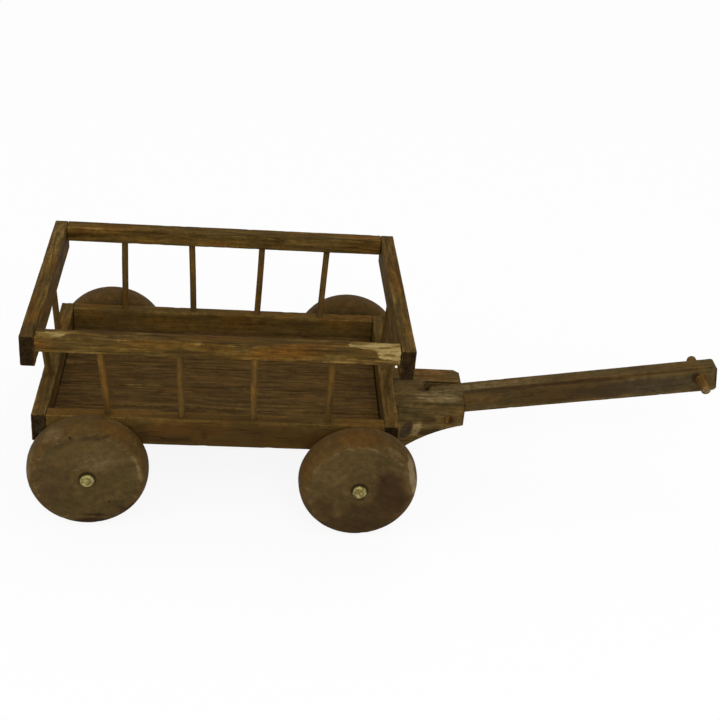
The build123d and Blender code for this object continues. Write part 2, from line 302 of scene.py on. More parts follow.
def makeWood(name, values):
    material, start, shader = startMaterial(name)
    steps, shares, relief = grainSteps, grainShares, reliefShares
    place = start.attribute("grain", "Vector")
    endGrain = start.attribute("endGrain")
    edge = start.attribute("edge")
    figure = start.attribute("figure")

    def pattern(key):
        along, across, *settings = grainPatterns[key]
        return place.scaled(along, across).noise(1.0, *settings)

    # Growth rings round a heart outside the piece, then fibres, streaks, short dashes and cracks
    outward = place.scaled(shares["ringDrift"], 1.0).length()
    outward = outward + pattern("waver") * shares["ringWaver"]
    rings = outward.wave(values["ringTurns"]) ** shares["ringPower"]
    fibres = pattern("fibres") - 0.5
    streaks = pattern("streaks") - 0.5
    dashes = pattern("dashes").between(*steps["dashes"])
    patches = pattern("patches")
    warmth = pattern("warmth")
    mottle = pattern("mottle") - 0.5
    cracks = (1 - ((pattern("splits") - 0.5) * shares["crackPower"]).size()).clamped()
    cracks = cracks * pattern("gaps").between(*steps["gaps"])

    colour = warmth.between(*steps["main"]).mixed(values["olive"], values["main"])
    warm = warmth.between(*steps["warm"]) * values["warmShare"]
    colour = warm.mixed(colour, values["warm"])
    turned = 0
    if values["turning"]:  # lines of the turning tool, strong in some places and gone in others
        drift = patches * shares["turnedDrift"]
        across = start.node("CombineXYZ", None, {0: start.attribute("radius"), 1: drift})
        turned = across.noise(shares["turnedScale"], detail=3, roughness=0.6) - 0.5
        turned = turned * patches.between(*steps["turning"])
        rim = (start.attribute("rim") + mottle + (patches - 0.5)).between(*steps["rim"])
        colour = (rim * shares["rim"]).mixed(colour, values["end"])

    # End faces drink more stain and edges rub lighter
    pores = pattern("pores")
    endColour = pores.between(*steps["end"]).mixed(values["endDark"], values["end"])
    colour = endGrain.mixed(colour, endColour)
    rubbed = edge * streaks.between(*steps["rubbedStreaks"])
    rubbed = rubbed * mottle.between(*steps["rubbedMottle"])
    rubbed = rubbed * (1 - endGrain * shares["rubbedEnd"])
    colour = (rubbed * shares["rubbed"]).mixed(colour, values["pale"])

    # Marks fray along the fibres, and bare wood shows in blotches
    ragged = streaks + fibres * shares["ragged"] + mottle * shares["ragged"]
    ragged = ragged * values["fray"]
    bare = pattern("blotches").between(*steps["raw"]).mixed(values["rawTan"], values["raw"])
    for kind, (fray, low, high) in markKinds.items():
        mask = start.attribute(kind)
        cover = (mask + ragged * fray).between(low, high) * mask.between(*steps["marked"])
        colour = cover.mixed(colour, bare if kind == "raw" else values[kind])

    # Light and dark of the grain itself, in doublings, over whatever lies on it
    shade = streaks * values["streaks"] + fibres * values["fibres"] - rings * values["rings"]
    shade = shade - dashes * values["dashes"] - cracks * values["cracks"]
    shade = shade - patches.between(*steps["dark"]) * shares["dark"]
    calm = 1 - start.attribute("raw").between(*steps["calm"]) * shares["calm"]
    shade = shade * figure * calm + mottle * values["mottle"] + turned * values["turning"]
    colour = colour.lit(2 ** (shade + values["lift"]))
    joinUp(start.tree, colour, shader.inputs["Base Color"])

    gloss = values["roughness"] + streaks * shares["gloss"] + mottle * shares["gloss"]
    joinUp(start.tree, gloss.clamped(), shader.inputs["Roughness"])
    shader.inputs["Specular IOR Level"].default_value = values["shine"]

    height = fibres * relief["fibres"] + streaks * relief["streaks"] - rings * relief["rings"]
    height = height + mottle * relief["mottle"] - dashes * relief["dashes"] - cracks
    height = height + turned * relief["turning"] + endGrain * pores * relief["pores"]
    depth = shares["bumpDepth"] * mm
    inputs = {"Strength": values["bump"], "Distance": depth, "Height": height}
    joinUp(start.tree, start.node("Bump", None, inputs), shader.inputs["Normal"])
    return material


woods = {key: makeWood(key + "Wood", values) for key, values in woodValues.items()}

brassValues = {
    "bright": tone(168, 156, 100), "dull": tone(112, 101, 58), "dirt": tone(44, 33, 13),
    "cloudScale": 0.9, "cloudSteps": (0.4, 0.62),
    "scratchScale": (5.5, 1.6), "scratchSteps": (0.6, 0.75), "scratches": 0.35,
    "grime": 0.6, "cloudedGrime": 0.5,
    "roughness": 0.42, "cloudRoughness": 0.3, "grimeRoughness": 0.35,
    "bump": 0.35, "bumpDepth": 0.06, "scratchDepth": 0.4,
}


def makeBrass(values):
    material, start, shader = startMaterial("nailBrass")
    place = start.attribute("grain", "Vector")
    grime = start.attribute("edge")
    cloud = place.noise(values["cloudScale"], detail=3, roughness=0.6)
    scratch = place.scaled(*values["scratchScale"]).noise(detail=3, roughness=0.6)
    colour = cloud.between(*values["cloudSteps"]).mixed(values["dull"], values["bright"])
    scored = scratch.between(*values["scratchSteps"]) * values["scratches"]
    colour = scored.mixed(colour, values["dirt"])
    dirty = grime * (values["grime"] + cloud * values["cloudedGrime"])
    colour = dirty.clamped().mixed(colour, values["dirt"])
    joinUp(start.tree, colour, shader.inputs["Base Color"])
    shader.inputs["Metallic"].default_value = 1
    rough = values["roughness"] + (cloud - 0.5) * values["cloudRoughness"]
    rough = rough + grime * values["grimeRoughness"]
    joinUp(start.tree, rough.clamped(), shader.inputs["Roughness"])
    height = cloud + scratch * values["scratchDepth"]
    depth = values["bumpDepth"] * mm
    inputs = {"Strength": values["bump"], "Distance": depth, "Height": height}
    joinUp(start.tree, start.node("Bump", None, inputs), shader.inputs["Normal"])
    return material


brass = makeBrass(brassValues)
print("materials made")


# Marks of wear and stain on the pieces, with some painted shade and painted highlights among them.
# Columns: kind, place, reach, lean, strength, in millimetres and degrees, the lean in the upright
# plane along the cart

markValues = {
    "top_rail_right": [
        ("raw", (-104.9, -37.8, 65.0), (4.4, 1.9, 1.0), 0, 0.8),
        ("rust", (-108.2, -39.8, 62.2), (2.2, 1.0, 1.4), 35, 0.9),
        ("pale", (-104.0, -37.2, 65.0), (5.0, 3.2, 1.0), 0, 0.5),
        ("raw", (-5.0, -37.2, 65.0), (7.6, 3.8, 1.4), 0, 1.0),
        ("raw", (-12.5, -36.6, 65.0), (4.6, 2.4, 1.0), 0, 0.8),
        ("raw", (-3.4, -39.8, 63.4), (5.4, 1.4, 2.2), -8, 0.85),
        ("pale", (-18.0, -39.8, 61.4), (20.0, 1.0, 2.4), 0, 0.3),
        ("pale", (-30.0, -39.8, 55.6), (40.0, 1.0, 0.9), 0, 0.42),
        ("stain", (-52.0, -36.6, 65.0), (30.0, 3.6, 0.6), 0, 0.42),
        ("stain", (-88.0, -35.6, 65.0), (9.0, 1.6, 1.0), 0, 0.6),
        ("pale", (-84.0, -37.4, 65.0), (13.0, 1.4, 0.8), 0, 0.35),
        ("pale", (-62.0, -38.6, 65.0), (11.0, 0.9, 0.8), 0, 0.42),
        ("stain", (-44.0, -38.6, 65.0), (7.0, 1.0, 1.0), 0, 0.5),
        ("stain", (-24.0, -39.8, 64.2), (9.0, 1.0, 0.7), 0, 0.55),
        ("stain", (-8.0, -39.8, 60.6), (8.0, 1.0, 0.6), -3, 0.5),
        ("rust", (-34.0, -39.0, 63.0), (14.0, 2.0, 3.0), 0, 0.7),
        ("stain", (-102.0, -39.8, 61.4), (5.0, 1.0, 1.6), 0, 0.45),
    ],
    "top_rail_rear": [
        ("grey", (-112.0, -36.0, 65.0), (3.0, 6.0, 1.0), 0, 0.5),
        ("pale", (-112.0, 22.0, 65.0), (3.0, 17.0, 1.0), 0, 0.5),
    ],
    "bottom_rail_rear": [
        ("grey", (-105.0, -36.0, 30.0), (8.0, 1.6, 8.0), 0, 0.6),
    ],
    "sill_right": [
        ("pale", (-70.0, -36.0, 31.2), (9.6, 1.0, 2.6), 4, 0.42),
        ("rust", (-70.0, -36.0, 31.0), (10.0, 1.0, 3.0), 4, 0.7),
        ("pale", (-53.0, -36.0, 33.2), (6.6, 1.0, 1.6), 4, 0.3),
        ("stain", (-70.0, -36.0, 27.1), (10.0, 1.0, 1.0), 5, 0.75),
        ("stain", (-59.2, -36.0, 29.4), (1.3, 1.0, 2.6), 8, 0.75),
        ("stain", (-54.0, -36.0, 29.2), (4.0, 1.0, 2.0), 0, 0.55),
        # the long stain over the side and the dark line along the top edge are painted shade under
        # the frame above
        ("stain", (-50.0, -36.0, 29.0), (46.0, 1.0, 7.0), 0, 0.6),
        ("stain", (-18.0, -36.0, 29.5), (6.0, 1.0, 5.0), 0, 0.5),
        ("stain", (-50.0, -34.4, 34.8), (34.0, 2.4, 0.6), 0, 0.5),
    ],
    "hitch_block": [
        ("pale", (4.3, -11.2, 17.6), (1.2, 1.0, 3.6), -14, 0.5),
        ("pale", (11.4, -11.2, 18.2), (1.7, 1.0, 3.4), -14, 0.7),
        ("grey", (7.7, -11.2, 17.2), (2.0, 1.2, 4.2), -14, 1.0),
        ("stain", (8.9, -11.2, 18.6), (0.6, 1.0, 2.6), -14, 0.5),
        ("stain", (15.0, -11.2, 21.6), (3.4, 1.0, 2.2), 10, 0.6),
        # this mark darkens the side along the lower edge of the cove
        ("stain", (15.6, -11.2, 16.6), (4.6, 1.0, 1.6), 14, 0.75),
        ("stain", (22.1, -11.2, 22.0), (2.6, 0.6, 2.6), 0, 0.6),
        ("pale", (18.0, -7.0, 28.1), (9.0, 3.4, 1.0), 0, 0.75),
        ("stain", (21.0, -10.8, 27.6), (6.0, 0.8, 0.8), 0, 0.4),
        ("rust", (14.0, 8.0, 28.0), (14.0, 5.0, 2.0), 0, 0.6),
        ("pale", (20.0, 9.4, 28.1), (6.0, 2.0, 1.0), 0, 0.35),
        ("stain", (26.9, 7.0, 26.4), (0.9, 5.0, 3.0), 0, 0.7),
        ("stain", (6.0, 3.6, 28.1), (7.0, 1.2, 1.0), 0, 0.7),
        ("stain", (13.5, -2.4, 28.1), (2.6, 1.8, 1.0), 0, 0.65),
    ],
    "tongue": [
        ("stain", (76.0, 0.0, 34.4), (52.0, 4.0, 8.0), 8.8, 0.34),
        ("stain", (58.0, -2.7, 30.6), (32.0, 0.7, 4.0), 8.8, 0.52),
        ("stain", (60.0, -2.7, 27.8), (30.0, 0.7, 4.0), 8.8, 0.62),
        ("stain", (41.0, -2.7, 29.7), (19.0, 0.7, 1.3), 8.8, 0.7),
        ("stain", (66.0, -2.7, 33.7), (26.0, 0.7, 0.9), 8.8, 0.8),
        ("stain", (92.0, -2.7, 38.2), (20.0, 0.7, 0.5), 8.8, 0.62),
        ("rust", (80.0, -2.7, 36.3), (30.0, 0.7, 0.7), 8.8, 1.0),
        ("pale", (60.0, -2.6, 33.9), (46.0, 0.6, 0.5), 8.8, 0.45),
        ("pale", (42.0, 0.0, 30.0), (24.0, 2.6, 1.6), 8.8, 0.45),
        ("grey", (88.0, -2.7, 32.6), (30.0, 0.7, 4.0), 8.8, 0.7),
        ("rust", (36.0, -2.7, 25.0), (9.0, 0.7, 1.6), 8.8, 0.6),
        ("stain", (86.0, 1.0, 37.9), (5.0, 1.6, 0.5), 8.8, 0.6),
        # the stains round the crossbar's hole, on both faces of the tongue, are painted shade of
        # the gap round the bar
        ("stain", (106.6, -2.7, 36.9), (1.7, 0.7, 2.6), 0, 0.95),
        ("rust", (108.6, -2.7, 36.6), (2.9, 0.7, 2.7), 0, 0.8),
        ("stain", (108.4, 2.7, 36.5), (3.0, 0.7, 2.8), 0, 0.8),
        ("stain", (114.0, -2.4, 37.0), (1.1, 1.4, 6.0), 8.8, 0.95),
    ],
}
wheelMiddles = {
    "wheel_rear_right": (-95.25, -47.5, 18.9),
    "wheel_front_right": (-10.55, -47.5, 18.9),
}
wheelMarks = {  # the same, but placed from the middle of the wheel's face
    "wheel_rear_right": [
        ("rust", (9, 3, 17.0), (9.0, 6.0, 2.0), -28, 0.6),
        ("pale", (-9.5, 2, 15), (5.0, 4.0, 2.4), 35, 0.4),
        # the pale mark on the right edge of the rim is a painted highlight where the rounded rim
        # catches the light
        ("pale", (16.6, 1, 3.0), (0.7, 3.0, 7.5), 14, 0.4),
        ("pale", (-17.0, 3, 2.0), (1.6, 5.0, 8.0), -8, 0.45),
        ("stain", (-7.0, 0, 13.4), (7.0, 2.5, 1.8), 14, 0.42),
        ("stain", (4.0, 0, 15.4), (7.0, 2.5, 1.4), 8, 0.55),
        ("stain", (7.0, 0, 15.8), (2.6, 2.5, 0.7), 14, 0.75),
        ("stain", (-12.0, 0, -8.0), (6.0, 2.5, 7.0), 40, 0.4),
        ("stain", (8.0, 0, -12.0), (9.0, 2.5, 4.0), 30, 0.36),
        ("grey", (-11.0, 0, -1.0), (6.0, 2.0, 9.0), 10, 0.42),
        ("pale", (4.0, 0, 6.0), (8.0, 2.0, 5.5), 20, 0.34),
        ("stain", (7.3, 0, -8.7), (0.6, 2.0, 0.7), 0, 1.0),
        ("stain", (-4.0, 0, 15.4), (0.7, 2.0, 0.6), 0, 0.9),
        ("stain", (3.0, 0, -13.8), (5.4, 2.0, 0.8), -4, 0.9),
        # the stains round the bottom of the rim are painted shade of the rim's underside
        ("stain", (1, 2, -16.9), (9.0, 5.0, 2.5), 0, 1.0),
        ("stain", (-11.4, 2, -13.6), (5.5, 5.0, 1.3), -42, 0.8),
        ("stain", (12.4, 2, -12.6), (5.0, 5.0, 1.3), 45, 0.8),
        ("stain", (12.0, 1, -12.0), (3.4, 4.0, 2.0), -40, 0.6),
        ("stain", (12.4, 0, -6.0), (1.6, 2.0, 1.8), 0, 0.5),
        ("stain", (-13.4, 1, -11.4), (2.0, 4.0, 5.0), 45, 0.5),
    ],
    "wheel_front_right": [
        ("rust", (-1, 3, 17.4), (9.0, 6.0, 2.4), 0, 0.6),
        ("rust", (-16.4, 3, 5.0), (1.8, 6.0, 8.0), 12, 0.6),
        # the pale marks on the right and upper right of the rim are painted highlights where the
        # rounded rim catches the light
        ("pale", (16.9, 1, 5.0), (1.2, 4.0, 9.0), 12, 1.0),
        ("pale", (11.0, 1, 13.6), (5.0, 3.0, 1.0), -38, 0.42),
        ("pale", (-12.6, 0, 9.6), (5.0, 2.0, 0.7), 50, 0.5),
        ("pale", (-4.0, 0, 15.6), (5.6, 2.0, 0.6), 12, 0.42),
        ("stain", (10.6, -1, -2.0), (7.0, 2.5, 11.5), 10, 0.72),
        ("stain", (-11.0, 0, -6.6), (8.0, 3.0, 6.4), -30, 0.6),
        ("stain", (6.0, -1, -10.0), (13.0, 3.5, 6.5), -12, 0.62),
        ("rust", (12.0, -1, -6.0), (3.5, 2.5, 8.0), 12, 0.45),
        ("stain", (-1.5, -1, -14.6), (17.0, 4.0, 6.0), 0, 0.66),
        ("stain", (-9.6, 0, -9.6), (6.4, 3.0, 4.4), -25, 0.6),
        ("grey", (-11.0, 0, 9.6), (5.5, 2.0, 2.2), 42, 0.5),
        ("grey", (-13.0, 0, 2.0), (2.4, 2.0, 4.6), 15, 0.5),
        ("pale", (-6.0, 0, 5.6), (6.0, 2.0, 3.0), -28, 0.42),
        ("pale", (2.0, 0, 9.6), (3.2, 2.0, 4.6), -20, 0.3),
        ("stain", (1.0, 0, -3.0), (2.6, 2.0, 1.8), 0, 0.8),
        # the stains round the bottom of the rim are painted shade of the rim's underside
        ("stain", (0, 2, -16.9), (9.0, 5.0, 2.4), 0, 0.9),
        ("stain", (-12.0, 2, -13.2), (5.5, 5.0, 1.2), -42, 0.8),
    ],
}
for node, (middleX, faceY, middleZ) in wheelMiddles.items():
    markValues[node] = [
        (kind, (middleX + x, faceY + y, middleZ + z), *rest)
        for kind, (x, y, z), *rest in wheelMarks[node]
    ]


markShape = {  # in reaches from the middle: where a mark thins and ends, and how its rim wanders
    "fades": (0.5, 1.25),
    "wander": 0.2,
    "wanderSize": 2.3,
    "farOff": 2,
}


def smoothStep(low, high, value):
    share = min(1, max(0, (value - low) / (high - low)))
    return share * share * (3 - 2 * share)


def ridged(place, size, seed):  # noise from -1 to 1 at a wavelength in millimetres
    return noise.noise((place + seed) / size)


def hollows(place, size, seed):  # the same noise from 0 to 1
    return ridged(place, size, seed) * 0.5 + 0.5


def marksAt(marks, place, seed, values=markShape):  # how strongly each kind shows at a place
    found = dict.fromkeys(markKinds, 0.0)
    for kind, centre, reach, lean, strength in marks:
        gap = place - Vector(centre)
        farX, farY = values["farOff"] * max(reach[0], reach[2]), values["farOff"] * reach[1]
        if abs(gap.x) > farX or abs(gap.y) > farY:
            continue
        turn = math.radians(lean)
        along = gap.x * math.cos(turn) + gap.z * math.sin(turn)
        across = gap.z * math.cos(turn) - gap.x * math.sin(turn)
        distance = math.hypot(along / reach[0], across / reach[2], gap.y / reach[1])
        distance += ridged(place, values["wanderSize"], seed) * values["wander"]
        shown = strength * (1 - smoothStep(*values["fades"], distance))
        found[kind] = max(found[kind], shown)
    return found


# Finished pieces: a bmesh becomes an object that rides on its body and stands for its node

figureValues = {  # how strongly the grain shows on a piece
    "top_rail": 1.0,
    "bottom_rail": 0.8,
    "sill": 0.5,
    "tongue": 0.55,
    "hitch_block": 0.7,
    "other": 0.8,
}
seedSteps = ((7.13, 391), (3.71, 173), (5.37, 211))  # step and span of the seed on each axis


def figureOf(node):
    found = [share for key, share in figureValues.items() if node.startswith(key)]
    return found[0] if found else figureValues["other"]


def seedOf(name):  # a steady offset of the grain for each piece
    number = sum((place + 1) * ord(letter) for place, letter in enumerate(name))
    return Vector([number * step % span for step, span in seedSteps])


def addAttribute(mesh, name, kind, values):
    made = mesh.attributes.new(name, kind, "POINT")
    key = "vector" if kind == "FLOAT_VECTOR" else "value"
    flat = [number for value in values for number in value] if kind == "FLOAT_VECTOR" else values
    made.data.foreach_set(key, flat)


def finishPiece(shape, node, material, masks):
    name = "".join(word.capitalize() for word in node.split("_"))
    mesh = bpy.data.meshes.new(name)
    bmesh.ops.recalc_face_normals(shape, faces=shape.faces)
    low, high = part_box(node)
    for vert in shape.verts:  # wear never stands proud of the piece's own box
        vert.co = [min(max(vert.co[axis], low[axis]), high[axis]) for axis in range(3)]
    shape.to_mesh(mesh)
    shape.free()
    masks["figure"] = [figureOf(node)] * len(mesh.vertices)
    for key, values in masks.items():
        addAttribute(mesh, key, "FLOAT_VECTOR" if key == "grain" else "FLOAT", values)
    mesh.materials.append(material)
    for face in mesh.polygons:
        face.use_smooth = True
    piece = bpy.data.objects.new(name, mesh)
    bpy.context.scene.collection.objects.link(piece)
    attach(piece, frame["nodes"][node]["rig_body"])
    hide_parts(node)


def setPlaces(shape, places, toWorld):  # from a piece's own millimetres to its place in metres
    for vert, place in zip(shape.verts, places):
        vert.co = toWorld @ place * mm


def cutAcross(shape, axis, step, low, high):  # slices a shape into strips along one axis
    normal = Vector([1.0 if place == axis else 0.0 for place in range(3)])
    count = max(1, round((high - low) / step))
    for number in range(1, count):
        at = normal * (low + (high - low) * number / count)
        everything = shape.verts[:] + shape.edges[:] + shape.faces[:]
        bmesh.ops.bisect_plane(shape, geom=everything, plane_co=at, plane_no=normal, dist=1e-6)


# Sawn wood: rails, sills, boards, axle blocks, hitch block and tongue, a little uneven,
# with rubbed and chipped edges. Shapes are worked in millimetres, x along the grain

sawnValues = {
    "edgeRound": 0.35,
    "step": 0.65,
    "waviness": 0.05, "waveLengths": (31, 27),
    "roughness": 0.08, "roughSize": 1.3, "roughStretch": 5,
    "chipDepth": 0.4, "chipStart": 0.316, "chipSize": 2.3, "chipStretch": 1.6,
    "rawDepth": 0.2, "rawSize": 0.6,
    "edgeReach": 1.1, "edgeOverrun": 0.02,
    "endFacing": (0.6, 0.85),
    "sharpAngle": 0.6, "sharpLength": 1.2,
}
skewedRail = {"node": "top_rail_front", "size": (79.6, 4.5, 10.4), "turn": 91.15}


def wear(shape, node, toWorld, lines, values=sawnValues):
    seed = seedOf(node)
    marks = markValues.get(node, [])
    masks = {key: [] for key in ("grain", "endGrain", "edge", *markKinds)}
    shape.normal_update()
    moved = []
    for vert in shape.verts:
        place = vert.co
        nearness = 0
        for first, second in lines:
            near, share = intersect_point_line(place, first, second)
            if -values["edgeOverrun"] < share < 1 + values["edgeOverrun"]:
                nearness = max(nearness, 1 - (near - place).length / values["edgeReach"])
        found = marksAt(marks, toWorld @ place, seed)
        stretched = Vector((place.x / values["roughStretch"], place.y, place.z))
        chipPlace = Vector((place.x / values["chipStretch"], place.y, place.z))
        chip = max(0, ridged(chipPlace, values["chipSize"], seed) - values["chipStart"])
        torn = 1 + ridged(stretched, values["rawSize"], seed)
        depth = values["roughness"] * hollows(stretched, values["roughSize"], seed)
        depth += found["raw"] * values["rawDepth"] * torn
        depth += chip * nearness * values["chipDepth"]
        sideways, upward = values["waveLengths"]
        bow = Vector((
            0, ridged(Vector((place.x, 0, 0)), sideways, seed),
            ridged(Vector((place.x, 9, 0)), upward, seed),
        ))
        moved.append(place - vert.normal * depth + bow * values["waviness"])
        masks["grain"].append(place + seed)
        masks["endGrain"].append(smoothStep(*values["endFacing"], abs(vert.normal.x)))
        masks["edge"].append(nearness)
        for kind in markKinds:
            masks[kind].append(found[kind])
    setPlaces(shape, moved, toWorld)
    return masks


def boxLines(size):  # the twelve edges of a box round its own middle
    half = Vector(size) / 2
    lines = []
    for axis in range(3):
        first, second = [other for other in range(3) if other != axis]
        for way in (-1, 1):
            for side in (-1, 1):
                ends = []
                for end in (-1, 1):
                    corner = Vector((0, 0, 0))
                    corner[axis] = end * half[axis]
                    corner[first] = way * half[first]
                    corner[second] = side * half[second]
                    ends.append(corner)
                lines.append(tuple(ends))
    return lines


def makeStick(node, wood, values=sawnValues):
    low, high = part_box(node)
    centre, size = (low + high) / 2 / mm, (high - low) / mm
    turn = 0 if size.x > size.y else 90
    if turn:
        size = Vector((size.y, size.x, size.z))
    if node == skewedRail["node"]:
        size, turn = Vector(skewedRail["size"]), skewedRail["turn"]
    shape = bmesh.new()
    bmesh.ops.create_cube(shape, size=1)
    bmesh.ops.scale(shape, vec=size, verts=shape.verts)
    bmesh.ops.bevel(
        shape, geom=shape.edges[:], offset=values["edgeRound"], segments=2,
        profile=0.5, affect="EDGES", material=-1,
    )
    for axis in range(3):
        half = size[axis] / 2 - values["edgeRound"]
        cutAcross(shape, axis, values["step"], -half, half)
    toWorld = Matrix.Translation(centre) @ Matrix.Rotation(math.radians(turn), 4, "Z")
    masks = wear(shape, node, toWorld, boxLines(size))
    finishPiece(shape, node, woods[wood], masks)


for node in sorted(frame["nodes"]):
    if node.startswith(("top_rail", "bottom_rail", "sill", "axle_block")):
        makeStick(node, "stick")
    if node.startswith("floor_board"):
        makeStick(node, "board")
print("sticks and boards made")


# Hitch block and tongue: merged copies of their frame shapes, worn the same way

copiedValues = {
    "hitch_block": {"pivot": (0, 0, 0), "pitch": 0, "step": 0.75},
    "tongue": {"pivot": (21.95, 0, 22.0), "pitch": 8.8, "step": 0.7},
}


def makeCopied(node, about, values=sawnValues):
    turned = Matrix.Rotation(math.radians(-about["pitch"]), 4, "Y")
    toWorld = Matrix.Translation(about["pivot"]) @ turned
    shape = bmesh.new()
    shape.from_mesh(frame["nodes"][node].data)
    bmesh.ops.remove_doubles(shape, verts=shape.verts, dist=1e-6)
    bmesh.ops.scale(shape, vec=(1 / mm, 1 / mm, 1 / mm), verts=shape.verts)
    bmesh.ops.transform(shape, matrix=toWorld.inverted(), verts=shape.verts)
    bmesh.ops.dissolve_limit(
        shape, angle_limit=math.radians(1), verts=shape.verts, edges=shape.edges,
    )
    sharp = [
        edge for edge in shape.edges
        if edge.calc_face_angle(0) > values["sharpAngle"]
        and edge.calc_length() > values["sharpLength"]
    ]
    lines = [tuple(vert.co.copy() for vert in edge.verts) for edge in sharp]
    bmesh.ops.bevel(
        shape, geom=sharp, offset=values["edgeRound"], segments=2,
        profile=0.5, affect="EDGES", material=-1, clamp_overlap=True,
    )
    bmesh.ops.connect_verts_concave(shape, faces=shape.faces)
    for axis in range(3):
        low = min(vert.co[axis] for vert in shape.verts)
        high = max(vert.co[axis] for vert in shape.verts)
        cutAcross(shape, axis, about["step"], low, high)
    masks = wear(shape, node, toWorld, lines)
    finishPiece(shape, node, woods["stem"], masks)


for node, about in copiedValues.items():
    makeCopied(node, about)
print("hitch block and tongue made")


# Turned and round pieces: an outline is spun round an axle that lies along x, in millimetres

def rounded(shape, centre, reach, start, steps):  # a quarter ellipse, spun and stretched
    first = shape.verts.new((math.cos(start), 0, math.sin(start)))
    before = set(shape.verts)
    bmesh.ops.spin(
        shape, geom=[first], cent=(0, 0, 0), axis=(0, -1, 0), dvec=(0, 0, 0),
        angle=math.pi / 2, steps=steps, use_merge=False, use_duplicate=False,
    )
    arc = [first] + sorted(
        (vert for vert in shape.verts if vert not in before),
        key=lambda vert: (math.atan2(vert.co.z, vert.co.x) - start) % (2 * math.pi),
    )
    bmesh.ops.scale(shape, vec=(reach[0], 1, reach[1]), verts=arc)
    bmesh.ops.translate(shape, vec=(centre[0], 0, centre[1]), verts=arc)
    return arc


def joinCorners(shape, corners):  # edges from corner to corner, each a vert or a place
    verts = [
        corner if hasattr(corner, "co") else shape.verts.new((corner[0], 0, corner[1]))
        for corner in corners
    ]
    for pair in zip(verts, verts[1:]):
        if not shape.edges.get(pair):
            shape.edges.new(pair)


def spinRound(shape, steps):
    bmesh.ops.spin(
        shape, geom=shape.verts[:] + shape.edges[:], cent=(0, 0, 0), axis=(1, 0, 0),
        dvec=(0, 0, 0), angle=2 * math.pi, steps=steps, use_merge=True, use_duplicate=False,
    )
    bmesh.ops.remove_doubles(shape, verts=shape.verts, dist=1e-4)


def alongX(centre, outward):  # where a spun shape goes: its x outward, its z upright
    across = Vector((0, 0, 1)).cross(outward).normalized()
    upright = outward.cross(across)
    turn = Matrix((outward, across, upright)).transposed()
    return Matrix.Translation(centre) @ turn.to_4x4()


wheelValues = {
    "radius": 18.9, "width": 9.8, "bore": 1.05,
    "faceReach": (5.6, 2.9), "faceSteps": 12, "faceCuts": 20,
    "backReach": (2.8, 3.6), "backSteps": 8, "backCuts": 8,
    "treadCuts": 2, "turns": 220,
    "unevenness": 0.08, "unevenSize": 9, "roughness": 0.05, "roughSize": 1.4,
    "nickDepth": 0.3, "nickStart": 0.42, "nickSize": 2.6, "nickReach": (0.8, 0.4),
    "rimStart": 16.0, "rimReach": (-0.7, 0.9), "ringReach": (0.2, 0.9), "ring": 0.75,
    # painted shade: the face is darkened round the nail head, standing in for the head's shadow on
    # it
    "sootReach": (2.3, 3.7), "soot": 0.7,
    # painted shade: the tread is darkened all round, standing in for the shade under the rim
    "treadReach": (0.9, 0.1), "treadDirt": 0.2,
    "grainTurn": {"rear_right": 78, "rear_left": 20, "front_right": 115, "front_left": 50},
}


